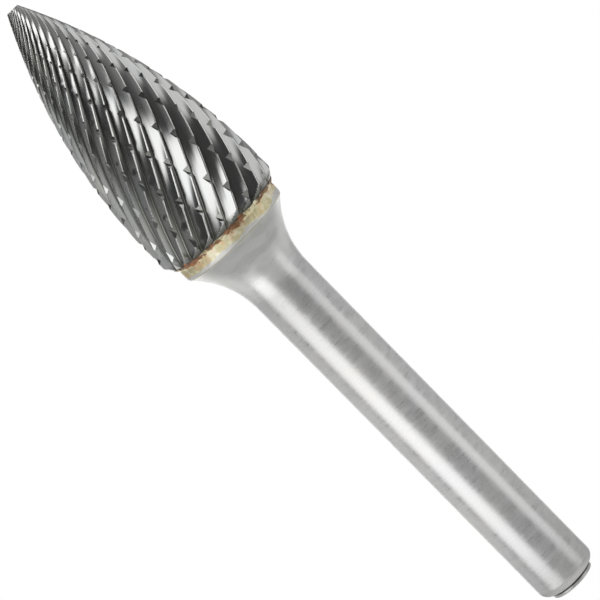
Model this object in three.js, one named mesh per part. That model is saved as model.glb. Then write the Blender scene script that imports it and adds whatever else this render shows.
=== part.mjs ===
// Pointed-tree carbide burr for a die grinder: a fluted carbide head brazed to a plain round steel shank.
// Millimetres. The axis of rotation is +Z, the shank's end face is at z = 0 and the tip points up.
import * as THREE from "three";

// Overall sizes.
const OVERALL_LENGTH = 70;
const SHANK_DIAMETER = 6;

// Carbide head, from its base face up: a bevelled shoulder, a short straight land and a pointed nose.
const HEAD_DIAMETER = 12.7;
const NOSE_LENGTH = 23.5;
const LAND_LENGTH = 1.3;
const SHOULDER_LENGTH = 1.1;
const TIP_DIAMETER = 1.2;

// Right-hand helical flutes. The depth is that at the full head diameter.
const FLUTE_COUNT = 24;
const FLUTE_HELIX_DEGREES = 28;
const FLUTE_DEPTH = 0.6;
const LAND_START = 0.78; // where the narrow top land starts, as a share of the flute's pitch
const LAND_END = 0.88; // where it ends and the cutting face drops to the next gullet

// Brazed joint: a band round the flange, a film under the carbide and a film round the centring pilot.
const JOINT_DIAMETER = 11;
const BAND_HEIGHT = 1.1;
const BAND_THICKNESS = 0.25;
const BAND_PROUD = 0.05; // how far the band stands out past the steel flange below it
const FILM_THICKNESS = 0.15;

// Steel shank: a pilot, a flange, a concave neck and a rounded end with a small grooved boss.
const PILOT_DIAMETER = 4;
const PILOT_LENGTH = 3;
const FLANGE_RIM = 0.2;
const NECK_RADIUS = 8.5;
const END_ROUND_LENGTH = 0.9;
const BOSS_DIAMETER = 4.4;
const BOSS_HEIGHT = 0.32;
const GROOVE_DEPTH = 0.15;
const GROOVE_WIDTH = 0.14;

// How deep the flute is cut at each column of its pitch, from 0 on the land to 1 in the gullet.
const fluteColumns = [
  { share: 0, depth: 1 },
  { share: LAND_START, depth: 0 },
  { share: LAND_END, depth: 0 },
];

// Facets.
const COLUMNS = FLUTE_COUNT * fluteColumns.length;
const NOSE_ROWS = 26;
const SHOULDER_ROWS = 3;
const NECK_STEPS = 7;
const END_STEPS = 4;

// Radii and heights that follow from the sizes above.
const headRadius = HEAD_DIAMETER / 2;
const tipRadius = TIP_DIAMETER / 2;
const shankRadius = SHANK_DIAMETER / 2;
const jointRadius = JOINT_DIAMETER / 2;
const pilotRadius = PILOT_DIAMETER / 2;
const bossRadius = BOSS_DIAMETER / 2;
const seatRadius = jointRadius - BAND_THICKNESS;
const flangeRadius = jointRadius - BAND_PROUD;
const pocketRadius = pilotRadius + FILM_THICKNESS;

const noseZ = OVERALL_LENGTH - NOSE_LENGTH;
const landZ = noseZ - LAND_LENGTH;
const baseZ = landZ - SHOULDER_LENGTH;
const flangeZ = baseZ - FILM_THICKNESS;
const bandZ = baseZ - BAND_HEIGHT;
const pilotZ = flangeZ + PILOT_LENGTH;
const pocketZ = pilotZ + FILM_THICKNESS;

// The nose is one circular arc that is tangent to the straight land and ends at the flat tip.
const noseDrop = headRadius - tipRadius;
const noseRadius = (noseDrop ** 2 + NOSE_LENGTH ** 2) / (2 * noseDrop);
const noseCentre = headRadius - noseRadius;
const noseAngle = Math.asin(NOSE_LENGTH / noseRadius);

// A line at a constant helix angle on the nose turns by
// twistScale * ln((reach + gap t) / (reach - gap t)), with t the tangent of half the arc angle.
const helixSlope = Math.tan(THREE.MathUtils.degToRad(FLUTE_HELIX_DEGREES));
const reach = Math.sqrt(noseRadius ** 2 - noseCentre ** 2);
const gap = noseRadius - noseCentre;
const twistScale = (helixSlope * noseRadius) / reach;

const steel = new THREE.MeshStandardMaterial({ color: 0xb4b4b2, roughness: 0.35, metalness: 1 });
const braze = new THREE.MeshStandardMaterial({ color: 0xd6c896, roughness: 0.45, metalness: 1 });
const carbide = new THREE.MeshStandardMaterial({ color: 0x5c5e62, roughness: 0.25, metalness: 1 });

const point = (radius, z) => new THREE.Vector2(radius, z);

// A turned solid from a profile that starts and ends on the axis, with the axis stood up along Z.
function turned(profile) {
  return new THREE.LatheGeometry(profile, COLUMNS).rotateX(Math.PI / 2);
}

// Points on a circular arc from one angle to another, both included.
function arc(centreRadius, centreZ, radius, from, to, steps) {
  return Array.from({ length: steps + 1 }, (_, i) => {
    const angle = from + ((to - from) * i) / steps;
    return point(centreRadius + radius * Math.cos(angle), centreZ + radius * Math.sin(angle));
  });
}

// The angle that a flute has turned by at arc angle psi on the nose, and the arc angle for a turn.
function noseTwist(psi) {
  const t = Math.tan(psi / 2);
  return twistScale * Math.log((reach + gap * t) / (reach - gap * t));
}
function noseAngleAt(twist) {
  return 2 * Math.atan((reach / gap) * Math.tanh(twist / (2 * twistScale)));
}

// The rows of the nose, spaced so that the flutes turn by the same angle from each to the next.
function noseRows() {
  const full = noseTwist(noseAngle);
  return Array.from({ length: NOSE_ROWS + 1 }, (_, i) => {
    const twist = (full * i) / NOSE_ROWS;
    const psi = noseAngleAt(twist);
    return {
      radius: noseCentre + noseRadius * Math.cos(psi),
      z: noseZ + noseRadius * Math.sin(psi),
      twist,
    };
  });
}

// The rows of the shoulder, which bevels the flutes off, and of the straight land above it.
function shoulderRows() {
  return Array.from({ length: SHOULDER_ROWS + 1 }, (_, i) => {
    const share = i / SHOULDER_ROWS;
    const z = baseZ + SHOULDER_LENGTH * share;
    return {
      radius: headRadius,
      bevel: jointRadius + (headRadius - jointRadius) * share,
      z,
      twist: (helixSlope * (z - noseZ)) / headRadius,
    };
  });
}

// Moves the outer rows of the turned blank in to the fluted form and twists them.
function cutFlutes(geometry, firstRow, rows, rowsInProfile) {
  const position = geometry.getAttribute("position");
  const pitch = (2 * Math.PI) / FLUTE_COUNT;
  for (let v = 0; v < position.count; v += 1) {
    const row = rows[(v % rowsInProfile) - firstRow];
    if (!row) continue;
    const column = Math.floor(v / rowsInProfile) % COLUMNS;
    const { share, depth } = fluteColumns[column % fluteColumns.length];
    const cut = row.radius - (FLUTE_DEPTH * depth * row.radius) / headRadius;
    const radius = Math.min(cut, row.bevel ?? Infinity);
    const angle = (Math.floor(column / fluteColumns.length) + share) * pitch + row.twist;
    position.setXY(v, radius * Math.sin(angle), -radius * Math.cos(angle));
  }
  return geometry;
}

function carbideHead() {
  const rows = [...shoulderRows(), ...noseRows()];
  const pocket = [point(0, pocketZ), point(pocketRadius, pocketZ), point(pocketRadius, baseZ)];
  const outside = rows.map((row) => point(Math.min(row.radius, row.bevel ?? row.radius), row.z));
  const profile = [...pocket, ...outside, point(0, OVERALL_LENGTH)];
  return cutFlutes(turned(profile), pocket.length, rows, profile.length);
}

// A hat: the band round the flange, the film under the carbide and the film that wraps the pilot.
function brazeJoint() {
  return turned([
    point(0, pilotZ),
    point(pilotRadius, pilotZ),
    point(pilotRadius, flangeZ),
    point(seatRadius, flangeZ),
    point(seatRadius, bandZ),
    point(jointRadius, bandZ),
    point(jointRadius, baseZ),
    point(pocketRadius, baseZ),
    point(pocketRadius, pocketZ),
    point(0, pocketZ),
  ]);
}

function steelShank() {
  const rimZ = bandZ - FLANGE_RIM;
  const neckSweep = Math.acos(1 - (flangeRadius - shankRadius) / NECK_RADIUS);
  const neckZ = rimZ - NECK_RADIUS * Math.sin(neckSweep);
  const neckCentre = shankRadius + NECK_RADIUS;
  const neck = arc(neckCentre, neckZ, NECK_RADIUS, Math.PI, Math.PI - neckSweep, NECK_STEPS);
  const grooveTop = BOSS_HEIGHT + GROOVE_WIDTH;
  const endRound = Array.from({ length: END_STEPS + 1 }, (_, i) => {
    const angle = (Math.PI / 2) * (i / END_STEPS);
    return point(
      bossRadius + (shankRadius - bossRadius) * Math.sin(angle),
      grooveTop + END_ROUND_LENGTH * (1 - Math.cos(angle)),
    );
  });
  return turned([
    point(0, 0),
    point(bossRadius, 0),
    point(bossRadius, BOSS_HEIGHT),
    point(bossRadius - GROOVE_DEPTH, BOSS_HEIGHT),
    point(bossRadius - GROOVE_DEPTH, grooveTop),
    ...endRound,
    ...neck,
    point(flangeRadius, bandZ),
    point(seatRadius, bandZ),
    point(seatRadius, flangeZ),
    point(pilotRadius, flangeZ),
    point(pilotRadius, pilotZ),
    point(0, pilotZ),
  ]);
}

const group = new THREE.Group();
const pieces = [
  ["carbide_head", carbideHead(), carbide],
  ["braze_joint", brazeJoint(), braze],
  ["steel_shank", steelShank(), steel],
];
for (const [name, geometry, material] of pieces) {
  const mesh = new THREE.Mesh(geometry, material);
  mesh.name = name;
  group.add(mesh);
}

export default group;
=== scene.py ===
"""Pointed-tree carbide burr: a fluted head with chip-breakers, its brazed joint and its steel shank."""
import math

import bmesh
import bpy
from bpy.props import FloatProperty, FloatVectorProperty, IntProperty, PointerProperty
from mathutils import Matrix, Vector, noise


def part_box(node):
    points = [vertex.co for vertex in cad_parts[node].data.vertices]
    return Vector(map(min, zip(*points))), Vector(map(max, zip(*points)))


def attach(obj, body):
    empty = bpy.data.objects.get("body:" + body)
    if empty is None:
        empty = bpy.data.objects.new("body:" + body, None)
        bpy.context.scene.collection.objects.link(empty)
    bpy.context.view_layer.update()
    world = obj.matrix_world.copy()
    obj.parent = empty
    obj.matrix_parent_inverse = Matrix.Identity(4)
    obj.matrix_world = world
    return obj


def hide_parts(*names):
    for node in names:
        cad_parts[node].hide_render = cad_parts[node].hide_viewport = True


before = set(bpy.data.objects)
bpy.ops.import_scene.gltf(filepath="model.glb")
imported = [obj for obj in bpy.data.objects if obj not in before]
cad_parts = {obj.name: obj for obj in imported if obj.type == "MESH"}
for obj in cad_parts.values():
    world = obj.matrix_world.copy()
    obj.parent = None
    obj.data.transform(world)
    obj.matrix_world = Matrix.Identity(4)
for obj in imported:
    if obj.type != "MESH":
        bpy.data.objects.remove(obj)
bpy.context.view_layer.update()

bl_info = {
    "name": "Carbide Burr",
    "version": (1, 0, 0),
    "blender": (4, 5, 0),
    "location": "3D View > Sidebar > Burr",
    "description": "Makes a fluted carbide burr, its brazed joint, its shank and a small studio",
    "category": "Object",
}

HEAD_LOW, HEAD_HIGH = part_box("carbide_head")
JOINT_LOW, JOINT_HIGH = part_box("braze_joint")

# Sections that the sizes below scale. Each pair is a share of the pitch and a share of the depth.
FLUTE_SECTION = (
    (0.0, 1.0), (0.05, 0.95), (0.1, 0.89), (0.2, 0.8), (0.3, 0.7), (0.4, 0.59), (0.5, 0.47),
    (0.6, 0.32), (0.7, 0.14), (0.77, 0.0), (0.85, 0.0), (0.9, 0.6), (0.95, 0.95), (1.0, 1.0),
)
POINTS_PER_FLUTE = 20
NOSE_ROWS = 84
SHOULDER_ROWS = 20
BREAKER_ROWS = 64
TURNED_SEGMENTS = 240
BOSS_HEIGHT = 0.00032
GROOVE_WIDTH = 0.00014
MERGE_DISTANCE = 4e-7
BREAKER_RUN_OUT = 0.0006  # how far below the head's base the chip-breakers' cutters start
GRAIN_START = 64  # flutes to skip, which picks the stretch of grain that faces the lens


# ---------------------------------------------------------------- sizes, cuts and finishes

class BurrSizes(bpy.types.PropertyGroup):
    """Sizes of the turned shapes."""

    overall_length: FloatProperty(
        name="Overall Length", description="From the shank's end to the tip",
        default=HEAD_HIGH[2], unit="LENGTH")
    head_diameter: FloatProperty(
        name="Head Diameter", description="Carbide at its widest", default=0.0127, unit="LENGTH")
    nose_length: FloatProperty(
        name="Nose Length", description="The pointed arc above the straight land",
        default=0.0235, unit="LENGTH")
    shoulder_length: FloatProperty(
        name="Shoulder Length", description="Height of the bevel at the head's base",
        default=0.0011, unit="LENGTH")
    base_height: FloatProperty(
        name="Base Height", description="Where the carbide starts", default=HEAD_LOW[2], unit="LENGTH")
    tip_diameter: FloatProperty(
        name="Tip Diameter", description="The small flat at the tip", default=0.0012, unit="LENGTH")
    joint_diameter: FloatProperty(
        name="Joint Diameter", description="Across the band of braze",
        default=2 * JOINT_HIGH[0], unit="LENGTH")
    joint_height: FloatProperty(
        name="Joint Height", description="Where the band of braze starts",
        default=JOINT_LOW[2], unit="LENGTH")
    flange_diameter: FloatProperty(
        name="Flange Diameter", description="Steel just below the braze", default=0.0109, unit="LENGTH")
    neck_radius: FloatProperty(
        name="Neck Radius", description="Radius of the concave neck", default=0.0085, unit="LENGTH")
    shank_diameter: FloatProperty(
        name="Shank Diameter", description="The round pin that a collet grips",
        default=0.006, unit="LENGTH")
    boss_diameter: FloatProperty(
        name="Boss Diameter", description="The small face at the shank's end",
        default=0.0044, unit="LENGTH")


class HeadCut(bpy.types.PropertyGroup):
    """The flutes and the chip-breakers that cross them."""

    flutes: IntProperty(name="Flutes", description="Right-hand flutes round the head", default=24, min=3)
    flute_helix: FloatProperty(
        name="Flute Helix", description="Angle between a flute and the head's outline",
        default=math.radians(28), subtype="ANGLE")
    flute_depth: FloatProperty(
        name="Flute Depth", description="Depth where the head is widest", default=0.0006, unit="LENGTH")
    breakers: IntProperty(
        name="Chip-breakers", description="Left-hand grooves round the head", default=13, min=1)
    breaker_helix: FloatProperty(
        name="Chip-breaker Helix", description="Angle between a groove and the head's outline",
        default=math.radians(24.5), subtype="ANGLE")
    breaker_start: FloatProperty(
        name="Chip-breaker Start", description="Angle of the first groove where the nose starts",
        default=math.radians(1.85), subtype="ANGLE")
    breaker_depth: FloatProperty(
        name="Chip-breaker Depth", description="Depth where the head is widest",
        default=0.00032, unit="LENGTH")
    breaker_wall: FloatProperty(
        name="Chip-breaker Wall", description="Slope of the groove's steep side",
        default=math.radians(46), subtype="ANGLE")
    breaker_flank: FloatProperty(
        name="Chip-breaker Flank", description="Slope of the groove's shallow side",
        default=math.radians(31), subtype="ANGLE")
    breaker_end: FloatProperty(
        name="Chip-breaker End", description="Height where the grooves fade out",
        default=0.0667, unit="LENGTH")


class Finishes(bpy.types.PropertyGroup):
    """Colours of the three metals."""

    carbide: FloatVectorProperty(
        name="Carbide", description="Ground carbide", default=(0.41, 0.41, 0.40),
        subtype="COLOR", size=3, min=0, max=1)
    braze: FloatVectorProperty(
        name="Braze", description="Clean braze", default=(0.84, 0.76, 0.50),
        subtype="COLOR", size=3, min=0, max=1)
    stain: FloatVectorProperty(
        name="Heat Stain", description="Burnt flux and copper along the joint",
        default=(0.30, 0.11, 0.035), subtype="COLOR", size=3, min=0, max=1)
    steel: FloatVectorProperty(
        name="Steel", description="Ground steel", default=(0.70, 0.70, 0.695),
        subtype="COLOR", size=3, min=0, max=1)


class Studio(bpy.types.PropertyGroup):
    """The camera's place and the strength of the light."""

    turn: FloatProperty(
        name="View Turn", description="Angle round the burr from its front",
        default=math.radians(4.65), subtype="ANGLE")
    rise: FloatProperty(
        name="View Rise", description="Angle above the level", default=math.radians(8.7), subtype="ANGLE")
    roll: FloatProperty(
        name="View Roll", description="Turn of the camera about its own axis",
        default=math.radians(-44.5), subtype="ANGLE")
    distance: FloatProperty(
        name="View Distance", description="From the lens to the burr's middle",
        default=0.24475, unit="LENGTH")
    lens: FloatProperty(name="Lens", description="Focal length in millimetres", default=169.6)
    brightness: FloatProperty(
        name="Brightness", description="Strength of every light, 1 as set up", default=1.0, min=0)


# ---------------------------------------------------------------- node trees, written as arithmetic

class Term:
    """A number in a node tree, so that a formula in nodes reads as arithmetic."""

    def __init__(self, wiring, socket):
        self.wiring = wiring
        self.socket = socket

    def __add__(self, other):
        return self.wiring.math("ADD", self, other)

    __radd__ = __add__

    def __sub__(self, other):
        return self.wiring.math("SUBTRACT", self, other)

    def __rsub__(self, other):
        return self.wiring.math("SUBTRACT", other, self)

    def __mul__(self, other):
        return self.wiring.math("MULTIPLY", self, other)

    __rmul__ = __mul__

    def __truediv__(self, other):
        return self.wiring.math("DIVIDE", self, other)

    def __pow__(self, other):
        return self.wiring.math("POWER", self, other)

    def __neg__(self):
        return self.wiring.math("MULTIPLY", self, -1)


class Wiring:
    """Adds nodes to one tree, with terms, sockets or plain values as their inputs."""

    def __init__(self, tree):
        self.tree = tree

    def node(self, kind, inputs=None, **settings):
        node = self.tree.nodes.new(kind)
        for name, value in settings.items():
            setattr(node, name, value)
        for key, value in (inputs or {}).items():
            self.feed(node.inputs[key], value)
        return node

    def feed(self, socket, value):
        if isinstance(value, Term):
            value = value.socket
        if isinstance(value, bpy.types.NodeSocket):
            self.tree.links.new(value, socket)
        else:
            socket.default_value = value

    def math(self, operation, *values):
        node = self.node("ShaderNodeMath", operation=operation)
        for socket, value in zip(node.inputs, values):
            self.feed(socket, value)
        return Term(self, node.outputs[0])

    def term(self, socket):
        return Term(self, socket)

    def sin(self, value):
        return self.math("SINE", value)

    def cos(self, value):
        return self.math("COSINE", value)

    def tan(self, value):
        return self.math("TANGENT", value)

    def sqrt(self, value):
        return self.math("SQRT", value)

    def limit(self, value, low, high):
        return self.math("MAXIMUM", self.math("MINIMUM", value, high), low)

    def choose(self, test, when_true, when_false):
        """The first value where the test is 1 and the second where it is 0."""
        return when_false + test * (when_true - when_false)

    def noise_at(self, vector, scale, detail, roughness=0.5, distortion=0.0):
        """A noise texture's value, round 0.5."""
        node = self.node("ShaderNodeTexNoise", {
            "Vector": vector, "Scale": scale, "Detail": detail, "Roughness": roughness,
            "Distortion": distortion})
        return Term(self, node.outputs["Fac"])

    def vector(self, x, y, z):
        return self.node("ShaderNodeCombineXYZ", {"X": x, "Y": y, "Z": z}).outputs[0]

    def parts(self, vector):
        node = self.node("ShaderNodeSeparateXYZ", {0: vector})
        return [Term(self, node.outputs[axis]) for axis in "XYZ"]


def new_geometry_tree(name, sizes):
    """An empty geometry tree with a named input for each size, and its wiring and input terms."""
    tree = bpy.data.node_groups.new(name, "GeometryNodeTree")
    for label, kind in sizes:
        tree.interface.new_socket(label, in_out="INPUT", socket_type=kind)
    tree.interface.new_socket("Geometry", in_out="OUTPUT", socket_type="NodeSocketGeometry")
    wiring = Wiring(tree)
    entry = tree.nodes.new("NodeGroupInput")
    return tree, wiring, {label: Term(wiring, entry.outputs[label]) for label, _ in sizes}


def nose_arc(w, size):
    """The nose's arc: its radius, its centre's radius, and the two lengths in the helix formula."""
    drop = size["Head Radius"] - size["Tip Radius"]
    length = size["Tip Height"] - size["Nose Height"]
    radius = (drop * drop + length * length) / (2 * drop)
    centre = size["Head Radius"] - radius
    reach = w.sqrt(radius * radius - centre * centre)
    return {"radius": radius, "centre": centre, "reach": reach, "gap": radius - centre}


def arc_angle_for_turn(w, arc, helix_slope, turn):
    """Where on the nose a line at a constant helix angle has turned this far round."""
    scale = helix_slope * arc["radius"] / arc["reach"]
    half = w.math("TANH", turn / (2 * scale)) * arc["reach"] / arc["gap"]
    return 2 * w.math("ARCTANGENT", half)


def turn_for_arc_angle(w, arc, helix_slope, angle):
    """How far round a line at a constant helix angle has turned at an angle on the nose."""
    scale = helix_slope * arc["radius"] / arc["reach"]
    rise = arc["gap"] * w.tan(angle * 0.5)
    return scale * w.math("LOGARITHM", (arc["reach"] + rise) / (arc["reach"] - rise), math.e)


def placed_grid(w, across, along):
    """A flat grid with its column and row numbers as terms."""
    grid = w.node("GeometryNodeMeshGrid", {
        "Size X": 1.0, "Size Y": 1.0, "Vertices X": across, "Vertices Y": along})
    x, y, _ = w.parts(w.node("GeometryNodeInputPosition").outputs[0])
    column = w.math("ROUND", (x + 0.5) * (across - 1))
    row = w.math("ROUND", (y + 0.5) * (along - 1))
    return grid.outputs["Mesh"], column, row


def at_either_end(w, row, rows):
    """1 on the first and the last row, where a shape closes to a point."""
    middle = (rows - 1) / 2
    return w.math("GREATER_THAN", w.math("ABSOLUTE", row - middle), middle - 0.5)


def merged(w, geometry):
    """The geometry with points that share a place made one."""
    node = w.node("GeometryNodeMergeByDistance", {"Geometry": geometry, "Distance": MERGE_DISTANCE})
    return node.outputs[0]


def curve_of(w, value, points):
    """A curve through the points, straight between them."""
    node = w.node("ShaderNodeFloatCurve", {"Value": value})
    curve = node.mapping.curves[0]
    for x, y in points[1:-1]:
        curve.points.new(x, y)
    for point, (x, y) in zip(curve.points, points):
        point.location = (x, y)
        point.handle_type = "VECTOR"
    node.mapping.update()
    return Term(w, node.outputs[0])


def fluted_blank(w, size):
    """A closed blank whose columns follow the flutes, so that every edge is crisp."""
    columns = size["Flutes"] * POINTS_PER_FLUTE + 1
    rows = SHOULDER_ROWS + NOSE_ROWS + 3
    mesh, column, row = placed_grid(w, columns, rows)
    arc = nose_arc(w, size)
    helix_slope = w.tan(size["Flute Helix"])

    on_nose = w.math("GREATER_THAN", row, SHOULDER_ROWS + 1.5)
    low_share = w.limit((row - 1) / SHOULDER_ROWS, 0, 1)
    low_height = size["Base Height"] + (size["Nose Height"] - size["Base Height"]) * low_share
    low_turn = helix_slope * (low_height - size["Nose Height"]) / size["Head Radius"]
    full_angle = w.math("ARCSINE", (size["Tip Height"] - size["Nose Height"]) / arc["radius"])
    full_turn = turn_for_arc_angle(w, arc, helix_slope, full_angle)
    high_turn = full_turn * w.limit((row - 1 - SHOULDER_ROWS) / NOSE_ROWS, 0, 1)
    angle = arc_angle_for_turn(w, arc, helix_slope, high_turn)

    height = w.choose(on_nose, size["Nose Height"] + arc["radius"] * w.sin(angle), low_height)
    turn = w.choose(on_nose, high_turn, low_turn)
    outline = w.choose(on_nose, arc["centre"] + arc["radius"] * w.cos(angle), size["Head Radius"])

    depth = curve_of(w, w.math("FRACT", column / POINTS_PER_FLUTE), FLUTE_SECTION)
    cut = outline * (1 - size["Flute Depth"] * depth / size["Head Radius"])
    bevel = size["Base Radius"] + (size["Head Radius"] - size["Base Radius"]) * (
        (height - size["Base Height"]) / size["Shoulder Length"])
    radius = w.math("MINIMUM", cut, bevel) * (1 - at_either_end(w, row, rows))

    way = column * (math.tau / POINTS_PER_FLUTE) / size["Flutes"] + turn
    position = w.vector(radius * w.sin(way), -radius * w.cos(way), height)
    moved = w.node("GeometryNodeSetPosition", {"Geometry": mesh, "Position": position})
    return merged(w, moved.outputs[0])


def breaker_cutters(w, size):
    """The chip-breakers' closed wedges, one swept along the nose and copied round it.
    The attribute breaker_side is 0.5 on the steep wall and 1 on the shallow flank."""
    rows = BREAKER_ROWS + 3
    mesh, column, row = placed_grid(w, 4, rows)
    arc = nose_arc(w, size)
    helix_slope = w.tan(size["Breaker Helix"])

    sweep = w.limit((row - 1) / BREAKER_ROWS, 0, 1)
    first_height = size["Base Height"] - BREAKER_RUN_OUT
    first_turn = helix_slope * (first_height - size["Nose Height"]) / size["Head Radius"]
    last_angle = w.math("ARCSINE", (size["Breaker End"] - size["Nose Height"]) / arc["radius"])
    last_turn = turn_for_arc_angle(w, arc, helix_slope, last_angle)
    turn = first_turn + (last_turn - first_turn) * sweep
    on_nose = w.math("GREATER_THAN", turn, 0)
    angle = arc_angle_for_turn(w, arc, helix_slope, turn) * on_nose
    low_height = size["Nose Height"] + turn * size["Head Radius"] / helix_slope
    height = w.choose(on_nose, size["Nose Height"] + arc["radius"] * w.sin(angle), low_height)
    outline = arc["centre"] + arc["radius"] * w.cos(angle)

    fade = w.limit((1 - sweep) * 7, 0, 1)
    taper = (outline / size["Head Radius"]) ** 1.6
    scale = taper * (0.3 + 0.7 * fade) * (1 - at_either_end(w, row, rows)) * size["Breaker Depth"]
    # The wedge's section: its bottom, the steep wall's top, the shallow flank's top, its bottom again.
    # Its top stands proud of the head, so that it cuts clean through the surface.
    proud = 0.4
    wall = w.math("COMPARE", column, 1, 0.1) / w.tan(size["Breaker Wall"])
    flank = w.math("COMPARE", column, 2, 0.1) / w.tan(size["Breaker Flank"])
    bottom = w.math("COMPARE", column, 0, 0.1) + w.math("COMPARE", column, 3, 0.1)
    across = (flank - wall) * (1 + proud) * scale
    sunk = (proud - (1 + proud) * bottom) * scale

    along = across * w.sin(size["Breaker Helix"])
    aside = across * w.cos(size["Breaker Helix"])
    radius = outline - along * w.sin(angle) + sunk * w.cos(angle)
    z = height + along * w.cos(angle) + sunk * w.sin(angle)
    way = size["Breaker Start"] - turn
    x = radius * w.sin(way) + aside * w.cos(way)
    y = aside * w.sin(way) - radius * w.cos(way)
    flat_x, _, _ = w.parts(w.node("GeometryNodeInputPosition").outputs[0])
    marked = w.node(
        "GeometryNodeStoreNamedAttribute",
        {"Geometry": mesh, "Name": "breaker_side",
         "Value": 0.5 + 0.5 * w.math("GREATER_THAN", flat_x, 0.1)}, data_type="FLOAT", domain="FACE")
    moved = w.node(
        "GeometryNodeSetPosition", {"Geometry": marked.outputs[0], "Position": w.vector(x, y, z)})

    starts = w.node(
        "GeometryNodeMeshLine",
        {"Count": size["Breakers"], "Offset": (0.0, 0.0, 0.0)}, mode="OFFSET")
    number = w.term(w.node("GeometryNodeInputIndex").outputs[0])
    turned = w.vector(0.0, 0.0, number * math.tau / size["Breakers"])
    copies = w.node(
        "GeometryNodeInstanceOnPoints",
        {"Points": starts.outputs[0], "Instance": merged(w, moved.outputs[0]), "Rotation": turned})
    return w.node("GeometryNodeRealizeInstances", {"Geometry": copies.outputs[0]}).outputs[0]


def fluted_head_tree():
    """Geometry nodes for the whole head: the fluted blank with the chip-breakers taken out of it."""
    lengths_and_angles = (
        "Flute Helix", "Flute Depth", "Breaker Helix", "Breaker Start", "Breaker Depth",
        "Breaker Wall", "Breaker Flank", "Breaker End", "Head Radius", "Base Radius", "Tip Radius",
        "Base Height", "Shoulder Length", "Nose Height", "Tip Height")
    sizes = [("Flutes", "NodeSocketInt"), ("Breakers", "NodeSocketInt")]
    sizes += [(label, "NodeSocketFloat") for label in lengths_and_angles]
    sizes.append(("Finish", "NodeSocketMaterial"))
    tree, w, size = new_geometry_tree("fluted_head", sizes)
    cut = w.node(
        "GeometryNodeMeshBoolean",
        {"Mesh 1": fluted_blank(w, size), "Mesh 2": breaker_cutters(w, size)},
        operation="DIFFERENCE", solver="MANIFOLD")
    smooth = w.node("GeometryNodeSetShadeSmooth", {"Geometry": cut.outputs["Mesh"], "Shade Smooth": True})
    bend = w.term(w.node("GeometryNodeInputMeshEdgeAngle").outputs["Unsigned Angle"])
    crisp = w.node(
        "GeometryNodeSetShadeSmooth",
        {"Geometry": smooth.outputs[0], "Selection": w.math("GREATER_THAN", bend, math.radians(18)),
         "Shade Smooth": False}, domain="EDGE")
    whole = w.node("GeometryNodeRealizeInstances", {"Geometry": crisp.outputs[0]})
    finished = w.node("GeometryNodeSetMaterial", {"Geometry": whole.outputs[0], "Material": size["Finish"]})
    exit_node = tree.nodes.new("NodeGroupOutput")
    w.feed(exit_node.inputs["Geometry"], finished.outputs[0])
    return tree


def mesh_from_tree(name, tree, values):
    """A plain object holding what the tree makes with these input values."""
    holder = bpy.data.objects.new(name + "_holder", bpy.data.meshes.new(name + "_holder"))
    bpy.context.scene.collection.objects.link(holder)
    modifier = holder.modifiers.new(name, "NODES")
    modifier.node_group = tree
    for item in tree.interface.items_tree:
        if item.in_out == "INPUT":
            modifier[item.identifier] = values[item.name]
    graph = bpy.context.evaluated_depsgraph_get()
    mesh = bpy.data.meshes.new_from_object(holder.evaluated_get(graph))
    bpy.data.objects.remove(holder)
    if not mesh.polygons:
        raise RuntimeError("the tree for " + name + " made nothing")
    mesh.name = name
    piece = bpy.data.objects.new(name, mesh)
    bpy.context.scene.collection.objects.link(piece)
    return piece


# ---------------------------------------------------------------- turned pieces

def arc_points(centre, radius, first, last, steps):
    """Points (radius, height) on an arc, ends included. Angles in radians."""
    points = []
    for step in range(steps + 1):
        angle = first + (last - first) * step / steps
        points.append((centre[0] + radius * math.cos(angle), centre[1] + radius * math.sin(angle)))
    return points


def turned_piece(name, profile, finish, crisp_angle=25.0, shift=None):
    """A closed turned solid from (radius, height) points that run up from the axis back to the axis.
    shift moves a point out by a length that may depend on its angle and place."""
    shape = bmesh.new()
    rings = []
    for radius, height in profile:
        if radius < 1e-9:
            rings.append([shape.verts.new((0.0, 0.0, height))])
            continue
        ring = []
        for segment in range(TURNED_SEGMENTS):
            angle = math.tau * segment / TURNED_SEGMENTS
            r, z = (radius, height) if shift is None else shift(radius, height, angle)
            ring.append(shape.verts.new((r * math.sin(angle), -r * math.cos(angle), z)))
        rings.append(ring)
    for below, above in zip(rings, rings[1:]):
        for segment in range(TURNED_SEGMENTS):
            following = (segment + 1) % TURNED_SEGMENTS
            if len(below) == 1:
                shape.faces.new((below[0], above[following], above[segment]))
            elif len(above) == 1:
                shape.faces.new((below[segment], below[following], above[0]))
            else:
                shape.faces.new((below[segment], below[following], above[following], above[segment]))
    bmesh.ops.recalc_face_normals(shape, faces=shape.faces)
    for face in shape.faces:
        face.smooth = True
    for edge in shape.edges:
        edge.smooth = edge.calc_face_angle(0.0) < math.radians(crisp_angle)
    mesh = bpy.data.meshes.new(name)
    shape.to_mesh(mesh)
    shape.free()
    mesh.materials.append(finish)
    piece = bpy.data.objects.new(name, mesh)
    bpy.context.scene.collection.objects.link(piece)
    return piece


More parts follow.
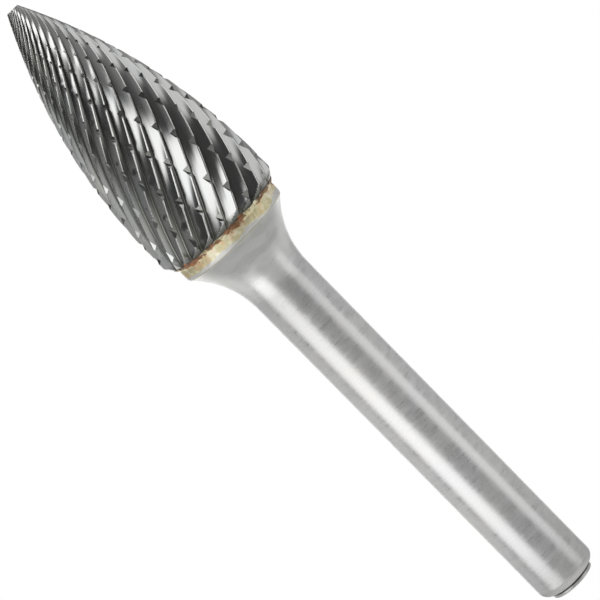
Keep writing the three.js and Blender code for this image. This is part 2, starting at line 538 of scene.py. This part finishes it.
def shank_profile(sizes):
    """The shank from its end face up: boss, groove, rounded end, pin, concave neck and flange."""
    boss = sizes.boss_diameter / 2
    pin = sizes.shank_diameter / 2
    flange = sizes.flange_diameter / 2
    face_ring = boss - 0.0012
    groove_depth = 0.00015
    end_round = 0.0009
    end_steps = 12
    edge = 0.00006
    rim_height = sizes.joint_height - 0.00005
    hidden_top = sizes.joint_height + 0.0002

    points = [(0.0, 0.0), (face_ring, 0.0)]
    points += arc_points((boss - edge, edge), edge, -math.pi / 2, 0, 4)
    points += [(boss, BOSS_HEIGHT), (boss - groove_depth, BOSS_HEIGHT)]
    top = BOSS_HEIGHT + GROOVE_WIDTH
    points.append((boss - groove_depth, top))
    for step in range(end_steps + 1):
        angle = math.pi / 2 * step / end_steps
        points.append((boss + (pin - boss) * math.sin(angle), top + end_round * (1 - math.cos(angle))))
    sweep = math.acos(1 - (flange - pin) / sizes.neck_radius)
    neck_height = rim_height - sizes.neck_radius * math.sin(sweep)
    span = neck_height - points[-1][1]
    points += [(pin, points[-1][1] + span * step / 8) for step in range(1, 8)]
    neck_centre = (pin + sizes.neck_radius, neck_height)
    points += arc_points(neck_centre, sizes.neck_radius, math.pi, math.pi - sweep, 40)
    points += [(flange, hidden_top), (0.0, hidden_top)]
    return points


def braze_profile(sizes):
    """The band of braze: a lip over the flange, a faint belly and a fillet up onto the carbide."""
    flange = sizes.flange_diameter / 2
    joint = sizes.joint_diameter / 2
    low, high = sizes.joint_height, sizes.base_height
    slope = (sizes.head_diameter / 2 - joint) / sizes.shoulder_length
    lip = 0.00002
    edge = 0.00008
    belly = 0.000015
    fillet_height = 0.001
    fillet_width = 0.00012
    hidden_ring = joint - 0.0004
    hidden_top = high + 0.00036

    points = [(0.0, low + 0.0001), (flange - 0.0002, low), (flange - lip, low - lip)]
    points += arc_points((joint - edge, low + edge), edge, -math.pi / 2, 0, 4)
    for step in range(7):
        share = step / 6
        height = low + (high - low) * (0.1 + 0.8 * share)
        points.append((joint + belly * math.sin(math.pi * share), height))
    for up, out in ((0.0, 0.0), (0.1, 0.35), (0.22, 0.55), (0.32, 0.6), (0.36, 0.5), (0.36, 0.2)):
        rise = up * fillet_height
        points.append((joint + slope * rise + out * fillet_width, high + rise))
    points += [(hidden_ring, hidden_top), (0.0, hidden_top)]
    return points


def braze_unevenness(sizes):
    """A shift that roughens the band's skin, and lifts its upper edge by uneven amounts."""
    low, high = sizes.joint_height, sizes.base_height
    skin = sizes.joint_diameter / 2 - 0.00015

    def shift(radius, height, angle):
        if radius < skin:
            return radius, height
        share = max(0.0, min(1.0, (height - low) / (high - low)))
        spot = Vector((math.sin(angle) * 9, -math.cos(angle) * 9, 0.0))
        broad = noise.noise(spot)
        fine = noise.noise(Vector((spot.x * 4, spot.y * 4, height * 4000)))
        out = (0.00001 + 0.000035 * share) * fine + 0.00002 * share * broad
        up = 0.00009 * share * share * (broad + 0.6 * noise.noise(spot * 3.1))
        return radius + out, height + up

    return shift


# ---------------------------------------------------------------- finishes

def new_shader_group(name, inputs, outputs):
    """A shader node group, its wiring, its input terms and its output node."""
    tree = bpy.data.node_groups.new(name, "ShaderNodeTree")
    for label, kind, value in inputs:
        socket = tree.interface.new_socket(label, in_out="INPUT", socket_type=kind)
        socket.default_value = value
    for label, kind in outputs:
        tree.interface.new_socket(label, in_out="OUTPUT", socket_type=kind)
    w = Wiring(tree)
    entry = tree.nodes.new("NodeGroupInput")
    leave = tree.nodes.new("NodeGroupOutput")
    return tree, w, {label: Term(w, entry.outputs[label]) for label, _, _ in inputs}, leave


def grain_group():
    """Grinding grain: fine lines across one length that vary slowly along the other two.
    It puts out a height for a Bump node and a value round 0 for roughness and colour."""
    tree, w, given, leave = new_shader_group(
        "grinding_grain",
        [("Across", "NodeSocketFloat", 0.0), ("Along", "NodeSocketFloat", 0.0),
         ("Beside", "NodeSocketFloat", 0.0), ("Lines", "NodeSocketFloat", 1.0),
         ("Stretch", "NodeSocketFloat", 40.0)],
        [("Height", "NodeSocketFloat"), ("Value", "NodeSocketFloat")])
    across = given["Across"] * given["Lines"]
    along = given["Along"] * given["Lines"] / given["Stretch"]
    beside = given["Beside"] * given["Lines"] / given["Stretch"]
    fine = w.noise_at(w.vector(across, along, beside), 1.0, 3.0, 0.65)
    broad = w.noise_at(w.vector(across * 0.17, along * 0.6, beside * 0.6 + 7.3), 1.0, 2.0)
    height = fine * 0.7 + broad * 0.5
    w.feed(leave.inputs["Height"], height)
    w.feed(leave.inputs["Value"], height - 0.6)
    return tree


def stain_group():
    """Heat stain round the joint: 1 in the middle of the stain, broken up at both edges."""
    tree, w, given, leave = new_shader_group(
        "heat_stain",
        [("Position", "NodeSocketVector", (0.0, 0.0, 0.0)), ("Centre", "NodeSocketFloat", 0.044),
         ("Below", "NodeSocketFloat", 0.0004), ("Above", "NodeSocketFloat", 0.0004),
         ("Patchiness", "NodeSocketFloat", 0.6)],
        [("Mask", "NodeSocketFloat"), ("Mottle", "NodeSocketFloat")])
    patches = w.noise_at(given["Position"], 650.0, 4.0, 0.62, distortion=0.6)
    specks = w.noise_at(given["Position"], 2600.0, 3.0, 0.6)
    _, _, z = w.parts(given["Position"])
    mottle = patches * 0.65 + specks * 0.35
    offset = z - given["Centre"]
    over = w.limit(offset / given["Above"], 0, 4)
    under = w.limit(-offset / given["Below"], 0, 4)
    strength = 1 - (over + under) + (mottle - 0.5) * given["Patchiness"] * 6
    w.feed(leave.inputs["Mask"], w.limit(strength * 1.6, 0, 1))
    w.feed(leave.inputs["Mottle"], mottle)
    return tree


def flute_run_group():
    """Where a point lies on the fluted head: how deep it is sunk, and its lengths across the
    flutes and up the head, from its position and the cut's own helix formula."""
    tree, w, size, leave = new_shader_group(
        "flute_run",
        [("Position", "NodeSocketVector", (0.0, 0.0, 0.0)), ("Flutes", "NodeSocketFloat", 24.0),
         ("Flute Helix", "NodeSocketFloat", 0.49), ("Head Radius", "NodeSocketFloat", 0.00635),
         ("Tip Radius", "NodeSocketFloat", 0.0006), ("Nose Height", "NodeSocketFloat", 0.0465),
         ("Tip Height", "NodeSocketFloat", 0.07)],
        [("Sunk", "NodeSocketFloat"), ("Across", "NodeSocketFloat"), ("Along", "NodeSocketFloat")])
    x, y, z = w.parts(size["Position"])
    arc = nose_arc(w, size)
    slope = w.tan(size["Flute Helix"])
    angle = w.math("ARCSINE", w.limit((z - size["Nose Height"]) / arc["radius"], 0, 1))
    low_turn = slope * w.math("MINIMUM", z - size["Nose Height"], 0.0) / size["Head Radius"]
    turn = turn_for_arc_angle(w, arc, slope, angle) + low_turn
    way = w.math("ARCTAN2", x, -y)
    flute = (way - turn) * size["Flutes"] / math.tau + GRAIN_START
    outline = arc["centre"] + arc["radius"] * w.cos(angle)
    radius = w.sqrt(x * x + y * y)
    w.feed(leave.inputs["Sunk"], (1 - radius / outline) * size["Head Radius"])
    numbered = w.math("FLOORED_MODULO", flute, size["Flutes"])
    w.feed(leave.inputs["Across"], numbered * math.tau / size["Flutes"] * size["Head Radius"])
    w.feed(leave.inputs["Along"], z)
    return tree


def new_finish(name, metallic=1.0):
    """A material with a Principled shader, its wiring and the shader node."""
    finish = bpy.data.materials.new(name)
    finish.use_nodes = True
    tree = finish.node_tree
    tree.nodes.clear()
    w = Wiring(tree)
    shader = w.node("ShaderNodeBsdfPrincipled", {"Metallic": metallic})
    leave = tree.nodes.new("ShaderNodeOutputMaterial")
    tree.links.new(shader.outputs["BSDF"], leave.inputs["Surface"])
    return finish, w, shader


def placed_group(w, tree, inputs):
    node = w.node("ShaderNodeGroup", node_tree=tree)
    for key, value in inputs.items():
        w.feed(node.inputs[key], value)
    return {socket.name: Term(w, socket) for socket in node.outputs}


def tinted(colour, tint):
    """A colour with its channels scaled by one number or by three, up to full strength."""
    scales = tint if isinstance(tint, tuple) else (tint,) * 3
    return tuple(min(1.0, channel * scale) for channel, scale in zip(colour, scales))


def feed_bump(w, shader, height):
    """Turn a height in metres into the shader's normal."""
    bump = w.node("ShaderNodeBump", {"Strength": 1.0, "Distance": 1.0, "Height": height})
    w.feed(shader.inputs["Normal"], bump.outputs["Normal"])


def blend_colour(w, share, first, second):
    """The first colour at 0 and the second at 1."""
    node = w.node("ShaderNodeMix", {"Factor": share}, data_type="RGBA")
    for socket, value in ((node.inputs[6], first), (node.inputs[7], second)):
        w.feed(socket, value if isinstance(value, bpy.types.NodeSocket) else (*value, 1.0))
    return node.outputs[2]


def carbide_finish(sizes, cut, colours, grain, stain, run):
    """Ground carbide: lands with a painted highlight, streaked relief faces, gullets and chip-breaker
    flanks darkened by painted shade and some grime, and a burnt base.
    """
    finish, w, shader = new_finish("ground_carbide")
    position = w.node("ShaderNodeTexCoord").outputs["Object"]
    _, _, z = w.parts(position)
    flute = placed_group(w, run, {
        "Position": position, "Flutes": float(cut.flutes), "Flute Helix": cut.flute_helix,
        "Head Radius": sizes.head_diameter / 2, "Tip Radius": sizes.tip_diameter / 2,
        "Nose Height": sizes.overall_length - sizes.nose_length, "Tip Height": sizes.overall_length})
    streaks = placed_group(w, grain, {
        "Across": flute["Across"], "Along": flute["Along"], "Lines": 9000.0, "Stretch": 45.0})
    side = w.term(w.node("ShaderNodeAttribute", attribute_name="breaker_side").outputs["Fac"])
    wall = w.limit(side * 2, 0, 1)
    flank = w.limit(side * 2 - 1, 0, 1)
    depth = w.limit(flute["Sunk"] / cut.flute_depth, 0, 1)
    land = w.limit(1 - (depth - 0.02) * 16, 0, 1) * (1 - wall)
    gullet = w.limit(depth * 3.2 - 2.2, 0, 1)
    bevel = w.limit((sizes.base_height + sizes.shoulder_length - z) / (sizes.shoulder_length * 0.4), 0, 1)
    cloud = w.noise_at(position, 260.0, 2.0) - 0.5
    burnt = placed_group(w, stain, {
        "Position": position, "Centre": sizes.base_height + 0.0001, "Below": 0.0006, "Above": 0.00028,
        "Patchiness": 0.9})

    clean = tuple(colours.carbide)
    cool = tinted(clean, (0.97, 0.99, 1.01))
    # dark: the colour of the painted shade in the gullets and the chip-breakers' flanks, and of the burnt
    # bevel
    dark = tinted(clean, (0.33, 0.33, 0.29))
    # edge: a pale colour for the painted highlight on the lands
    edge = tinted(clean, 2.0)
    fresh_rust = tinted(colours.stain, 2.2)
    ground = blend_colour(w, w.limit(0.45 + cloud * 3.0, 0, 1), clean, cool)
    # Painted highlight: the lands are lightened towards the pale edge colour, standing in for the glint
    # that their narrow ground faces catch.
    ground = blend_colour(w, land * 0.8, ground, edge)
    # Painted shade, with some grime: the gullets and the chip-breakers' shallow flanks are darkened where
    # little light reaches them; the bevel's darkening is burn from brazing.
    painted_shade_grime_and_burn = w.limit(gullet * 0.75 + flank * 0.6 + bevel * (0.45 + burnt["Mottle"] * 0.6), 0, 0.95)
    ground = blend_colour(w, painted_shade_grime_and_burn, ground, dark)
    rust = blend_colour(w, w.limit(burnt["Mottle"] * 6 - 2.9, 0, 1), tuple(colours.stain), fresh_rust)
    ground = blend_colour(w, burnt["Mask"] * 0.9, ground, rust)
    w.feed(shader.inputs["Base Color"], ground)
    rough = (0.17 + streaks["Value"] * 0.26 + wall * 0.05 + gullet * 0.12 + land * 0.2 + bevel * 0.12
             + burnt["Mask"] * 0.3)
    w.feed(shader.inputs["Roughness"], w.limit(rough, 0.06, 0.7))
    w.feed(shader.inputs["Metallic"], w.limit(1 - burnt["Mask"] * 0.45, 0, 1))
    lumps = burnt["Mottle"] * burnt["Mask"] * 0.00003
    feed_bump(w, shader, streaks["Height"] * (1 - wall) * 0.0000022 + lumps)
    return finish


def braze_finish(sizes, colours, stain):
    """Pale gold braze, mottled, thin at its lower edge, with burnt flux where it meets the carbide."""
    finish, w, shader = new_finish("mottled_braze")
    position = w.node("ShaderNodeTexCoord").outputs["Object"]
    _, _, z = w.parts(position)
    burnt = placed_group(w, stain, {
        "Position": position, "Centre": sizes.base_height + 0.00025, "Below": 0.00026, "Above": 0.0008,
        "Patchiness": 1.5})
    clean = tuple(colours.braze)
    pale = tinted(clean, (1.14, 1.2, 1.45))
    green = tinted(clean, (0.84, 0.86, 0.80))
    orange = tinted(clean, (1.08, 0.70, 0.52))
    soot = tinted(colours.stain, 0.35)
    patch = w.noise_at(position, 420.0, 4.0, 0.6)
    fleck = w.noise_at(position, 1500.0, 4.0, 0.65)
    colour = blend_colour(w, w.limit(patch * 5 - 2.1, 0, 1), green, clean)
    colour = blend_colour(w, w.limit(fleck * 5 - 2.3, 0, 1), colour, pale)
    upper = w.limit((z - sizes.joint_height) / (sizes.base_height - sizes.joint_height), 0, 1)
    colour = blend_colour(w, w.limit(burnt["Mottle"] * 6 - 3.3 + upper * 0.5, 0, 1) * 0.8, colour, orange)
    rust = blend_colour(w, w.limit(fleck * 7 - 3.4, 0, 1), soot, tuple(colours.stain))
    colour = blend_colour(w, burnt["Mask"] * 0.9, colour, rust)
    thin = sizes.joint_height + 0.0004 + 0.0014 * (patch - 0.5)
    bare = w.limit((thin - z) * 12000, 0, 1)
    colour = blend_colour(w, bare * 0.9, colour, tuple(colours.steel))
    w.feed(shader.inputs["Base Color"], colour)
    w.feed(shader.inputs["Roughness"], w.limit(0.32 + fleck * 0.25 + burnt["Mask"] * 0.15, 0.2, 0.9))
    w.feed(shader.inputs["Metallic"], w.limit(0.75 - burnt["Mask"] * 0.5, 0, 1))
    feed_bump(w, shader, burnt["Mottle"] * 0.00007 + patch * 0.00009 + fleck * 0.00003)
    return finish


def steel_finish(sizes, colours, grain, stain):
    """Ground steel with worn lines round the axis, duller and faintly heat-tinted near the joint."""
    finish, w, shader = new_finish("ground_steel")
    position = w.node("ShaderNodeTexCoord").outputs["Object"]
    x, y, z = w.parts(position)
    lines = placed_group(w, grain, {
        "Across": z, "Along": x, "Beside": y, "Lines": 6500.0, "Stretch": 9.0})
    cloud = w.noise_at(position, 190.0, 3.0) - 0.5
    neck_length = 0.006
    near = w.limit((z - (sizes.joint_height - neck_length)) / neck_length, 0, 1)
    clean = tuple(colours.steel)
    cool = tinted(clean, (0.985, 0.985, 1.0))
    warm = tinted(clean, (1.0, 0.995, 0.975))
    colour = blend_colour(w, w.limit(0.5 + cloud * 4, 0, 1), cool, warm)
    wisps = w.noise_at(w.vector(x * 0.6, y * 0.6, z * 1.4), 520.0, 2.0, 0.45, distortion=0.4)
    wisp = w.limit(wisps * 5 - 2.3, 0, 1) * w.limit(near * 1.5, 0, 1)
    dull = tinted(clean, (0.66, 0.67, 0.63))
    colour = blend_colour(w, w.limit(wisp * 0.7 + near * 0.65, 0, 0.9), colour, dull)
    speckle = w.noise_at(position, 5200.0, 2.0, 0.6) - 0.5
    wear = w.limit(0.4 - lines["Value"] * 3.5 - cloud - speckle * 1.5, 0, 1)
    colour = blend_colour(w, wear * 0.6, colour, tinted(clean, 0.76))
    burnt = placed_group(w, stain, {
        "Position": position, "Centre": sizes.joint_height, "Below": 0.00025, "Above": 0.001,
        "Patchiness": 0.7})
    colour = blend_colour(w, burnt["Mask"] * 0.25, colour, tuple(colours.braze))
    off_groove = w.math("ABSOLUTE", z - (BOSS_HEIGHT + GROOVE_WIDTH / 2))
    shadow = w.limit(1.6 - off_groove / (GROOVE_WIDTH * 0.7), 0, 1)
    colour = blend_colour(w, shadow * 0.9, colour, tinted(clean, 0.08))
    w.feed(shader.inputs["Base Color"], colour)
    rough = 0.34 + lines["Value"] * 0.4 + speckle * 0.12 + cloud * 0.12 + near * 0.04
    w.feed(shader.inputs["Roughness"], w.limit(rough, 0.12, 0.7))
    feed_bump(w, shader, lines["Height"] * 0.000007 + speckle * 0.0000025)
    return finish


def floor_finish():
    """Pale, almost even floor that stays white under the studio light."""
    finish, w, shader = new_finish("pale_floor", metallic=0.0)
    position = w.node("ShaderNodeTexCoord").outputs["Object"]
    shade = blend_colour(w, w.noise_at(position, 6.0, 2.0), (0.93, 0.93, 0.93), (0.97, 0.97, 0.97))
    w.feed(shader.inputs["Base Color"], shade)
    lens = w.term(w.node("ShaderNodeLightPath").outputs["Is Camera Ray"])
    w.feed(shader.inputs["Emission Color"], shade)
    w.feed(shader.inputs["Emission Strength"], 0.17 + lens)
    shader.inputs["Roughness"].default_value = 0.8
    return finish


# ---------------------------------------------------------------- operators

def shared(name, build):
    """A node group by name, built the first time that it is asked for."""
    return bpy.data.node_groups.get(name) or build()


class BURR_OT_cut_head(bpy.types.Operator):
    """Cut the fluted carbide head, with its chip-breakers, and finish it"""

    bl_idname = "burr.cut_head"
    bl_label = "Cut Carbide Head"

    def execute(self, context):
        sizes, cut = context.scene.burr_sizes, context.scene.burr_cut
        finish = carbide_finish(
            sizes, cut, context.scene.burr_finishes, shared("grinding_grain", grain_group),
            shared("heat_stain", stain_group), shared("flute_run", flute_run_group))
        values = {
            "Flutes": cut.flutes, "Flute Helix": cut.flute_helix, "Flute Depth": cut.flute_depth,
            "Breakers": cut.breakers, "Breaker Helix": cut.breaker_helix,
            "Breaker Start": cut.breaker_start, "Breaker Depth": cut.breaker_depth,
            "Breaker Wall": cut.breaker_wall, "Breaker Flank": cut.breaker_flank,
            "Breaker End": cut.breaker_end,
            "Head Radius": sizes.head_diameter / 2, "Base Radius": sizes.joint_diameter / 2,
            "Tip Radius": sizes.tip_diameter / 2, "Base Height": sizes.base_height,
            "Shoulder Length": sizes.shoulder_length,
            "Nose Height": sizes.overall_length - sizes.nose_length,
            "Tip Height": sizes.overall_length, "Finish": finish,
        }
        head = mesh_from_tree("fluted_carbide_head", shared("fluted_head", fluted_head_tree), values)
        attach(head, "root")
        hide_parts("carbide_head")
        return {"FINISHED"}


class BURR_OT_flow_braze(bpy.types.Operator):
    """Flow the band of braze between the carbide and the steel"""

    bl_idname = "burr.flow_braze"
    bl_label = "Flow Brazed Joint"

    def execute(self, context):
        sizes = context.scene.burr_sizes
        finish = braze_finish(sizes, context.scene.burr_finishes, shared("heat_stain", stain_group))
        band = turned_piece(
            "brazed_band", braze_profile(sizes), finish, crisp_angle=60, shift=braze_unevenness(sizes))
        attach(band, "root")
        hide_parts("braze_joint")
        return {"FINISHED"}


class BURR_OT_turn_shank(bpy.types.Operator):
    """Turn and grind the steel shank"""

    bl_idname = "burr.turn_shank"
    bl_label = "Turn Steel Shank"

    def execute(self, context):
        sizes = context.scene.burr_sizes
        finish = steel_finish(
            sizes, context.scene.burr_finishes, shared("grinding_grain", grain_group),
            shared("heat_stain", stain_group))
        shank = turned_piece("ground_steel_shank", shank_profile(sizes), finish)
        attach(shank, "root")
        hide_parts("steel_shank")
        return {"FINISHED"}


# Soft boxes. Angles are in degrees, and positive ones lie to the left of the upright burr.
# The far ones hang round the head, each as (name, angle round the burr from the lens, angle above
# the level, roll, width, height, strength).
FAR_BOXES = (
    ("key", 33.0, 25.0, -20.0, 0.42, 0.29, 2.2),
    ("overhead", 64.0, 60.0, 0.0, 0.26, 0.13, 2.5),
    ("left_high", 122.0, 37.0, 25.0, 0.36, 0.10, 3.2),
    ("right", -80.0, 25.0, 0.0, 0.34, 0.50, 1.2),
    ("right_rear", -122.0, 15.0, 0.0, 0.28, 0.40, 0.45),
)
FAR_DISTANCE = 0.36
FAR_AIM = 0.05
# The near ones stand low round the shank, where the head's middle and tip hardly see them, each
# as (name, angle round the burr from the lens, width, strength).
NEAR_BOXES = (
    ("front", -10.0, 0.10, 0.27),
    ("low_key", 50.0, 0.12, 1.5),
    ("low_left", 116.0, 0.12, 0.62),
    ("low_right", -59.0, 0.075, 0.95),
    ("low_right_rear", -118.0, 0.15, 0.42),
    ("back_left", 160.0, 0.05, 1.4),
    ("back_right", -164.0, 0.05, 1.2),
)
NEAR_BOX_HEIGHT = 0.078
NEAR_DISTANCE = 0.085
NEAR_AIM = 0.002
FLOOR_RADIUS = 0.65
FLOOR_DROP = 0.25


def soft_box(name, angle, rise, roll, width, height, strength, aim, distance):
    """An area light that faces a height on the axis, bright in its middle and softer towards its edges."""
    light = bpy.data.lights.new("soft_box_" + name, "AREA")
    light.shape = "RECTANGLE"
    light.size = width
    light.size_y = height
    light.energy = math.pi * width * height
    light.use_nodes = True
    tree = light.node_tree
    tree.nodes.clear()
    w = Wiring(tree)
    across, up, _ = w.parts(w.node("ShaderNodeNewGeometry").outputs["Parametric"])
    edges = [w.limit((0.5 - w.math("ABSOLUTE", side - 0.5)) * 4, 0, 1) for side in (across, up)]
    soft = [edge * edge * (3 - 2 * edge) for edge in edges]
    glow = w.node("ShaderNodeEmission", {"Strength": strength * soft[0] * soft[1]})
    leave = tree.nodes.new("ShaderNodeOutputLight")
    tree.links.new(glow.outputs[0], leave.inputs["Surface"])
    lamp = bpy.data.objects.new("soft_box_" + name, light)
    bpy.context.scene.collection.objects.link(lamp)
    lamp.matrix_world = (
        Matrix.Translation((0, 0, aim))
        @ Matrix.Rotation(-math.radians(angle), 4, "Z")
        @ Matrix.Rotation(math.pi / 2 - math.radians(rise), 4, "X")
        @ Matrix.Rotation(math.radians(roll), 4, "Z")
        @ Matrix.Translation((0, 0, distance)))
    lamp.visible_camera = False


def studio_world(brightness):
    """White to the lens. Elsewhere a dark drape with a soft grey below it and above it."""
    world = bpy.data.worlds.new("studio")
    world.use_nodes = True
    tree = world.node_tree
    tree.nodes.clear()
    w = Wiring(tree)
    _, _, up = w.parts(w.node("ShaderNodeTexCoord").outputs["Generated"])
    lens = w.term(w.node("ShaderNodeLightPath").outputs["Is Camera Ray"])
    drape = 0.08 + 0.27 * w.limit((-up - 0.25) * 6, 0, 1) + 0.32 * w.limit((up - 0.6) * 5, 0, 1)
    strength = w.choose(lens, 1.0, drape * brightness)
    back = w.node("ShaderNodeBackground", {"Color": (1.0, 1.0, 1.0, 1.0), "Strength": strength})
    leave = tree.nodes.new("ShaderNodeOutputWorld")
    tree.links.new(back.outputs[0], leave.inputs["Surface"])
    return world


class BURR_OT_set_stage(bpy.types.Operator):
    """Lay the floor, hang the soft boxes and place the camera"""

    bl_idname = "burr.set_stage"
    bl_label = "Set Stage"

    def execute(self, context):
        scene, studio = context.scene, context.scene.burr_studio
        shape = bmesh.new()
        bmesh.ops.create_circle(
            shape, cap_ends=True, segments=96, radius=FLOOR_RADIUS,
            matrix=Matrix.Translation((0, 0, -FLOOR_DROP)))
        mesh = bpy.data.meshes.new("studio_floor")
        shape.to_mesh(mesh)
        shape.free()
        mesh.materials.append(floor_finish())
        floor = bpy.data.objects.new("studio_floor", mesh)
        scene.collection.objects.link(floor)

        front = math.degrees(studio.turn)
        for name, angle, rise, roll, width, height, strength in FAR_BOXES:
            soft_box(
                name, angle - front, rise, roll, width, height, strength * studio.brightness,
                FAR_AIM, FAR_DISTANCE)
        for name, angle, width, strength in NEAR_BOXES:
            soft_box(
                name, angle - front, 0.0, 0.0, width, NEAR_BOX_HEIGHT, strength * studio.brightness,
                NEAR_AIM, NEAR_DISTANCE)
        scene.world = studio_world(studio.brightness)

        camera = bpy.data.cameras.new("camera")
        camera.lens = studio.lens
        camera.sensor_width = 36.0
        camera.clip_start = 0.01
        camera.clip_end = 10.0
        eye = bpy.data.objects.new("camera", camera)
        scene.collection.objects.link(eye)
        aim_drop = 0.00003
        offset = 0.000113
        middle = context.scene.burr_sizes.overall_length / 2 - aim_drop
        facing = (
            Matrix.Rotation(studio.turn, 4, "Z")
            @ Matrix.Rotation(math.pi / 2 - studio.rise, 4, "X")
            @ Matrix.Rotation(studio.roll, 4, "Z"))
        aside = Matrix.Translation((offset, offset, studio.distance))
        eye.matrix_world = Matrix.Translation((0, 0, middle)) @ facing @ aside
        scene.camera = eye
        scene.view_settings.view_transform = "Standard"
        return {"FINISHED"}


class BURR_PT_bench(bpy.types.Panel):
    """Everything that makes the burr, in order"""

    bl_idname = "BURR_PT_bench"
    bl_label = "Carbide Burr"
    bl_space_type = "VIEW_3D"
    bl_region_type = "UI"
    bl_category = "Burr"

    def draw(self, context):
        layout = self.layout
        for group in (context.scene.burr_sizes, context.scene.burr_cut, context.scene.burr_finishes,
                      context.scene.burr_studio):
            box = layout.box()
            for name in group.__annotations__:
                box.prop(group, name)
        for operator in OPERATORS:
            layout.operator(operator.bl_idname)


GROUPS = (
    ("burr_sizes", BurrSizes), ("burr_cut", HeadCut), ("burr_finishes", Finishes), ("burr_studio", Studio))
OPERATORS = (BURR_OT_turn_shank, BURR_OT_flow_braze, BURR_OT_cut_head, BURR_OT_set_stage)


def register():
    for name, group in GROUPS:
        bpy.utils.register_class(group)
        setattr(bpy.types.Scene, name, PointerProperty(type=group))
    for operator in OPERATORS:
        bpy.utils.register_class(operator)
    bpy.utils.register_class(BURR_PT_bench)


def unregister():
    bpy.utils.unregister_class(BURR_PT_bench)
    for operator in reversed(OPERATORS):
        bpy.utils.unregister_class(operator)
    for name, group in reversed(GROUPS):
        delattr(bpy.types.Scene, name)
        bpy.utils.unregister_class(group)


def main():
    register()
    bpy.ops.burr.turn_shank()
    bpy.ops.burr.flow_braze()
    bpy.ops.burr.cut_head()
    bpy.ops.burr.set_stage()
    bpy.context.view_layer.update()


if __name__ == "__main__":
    main()
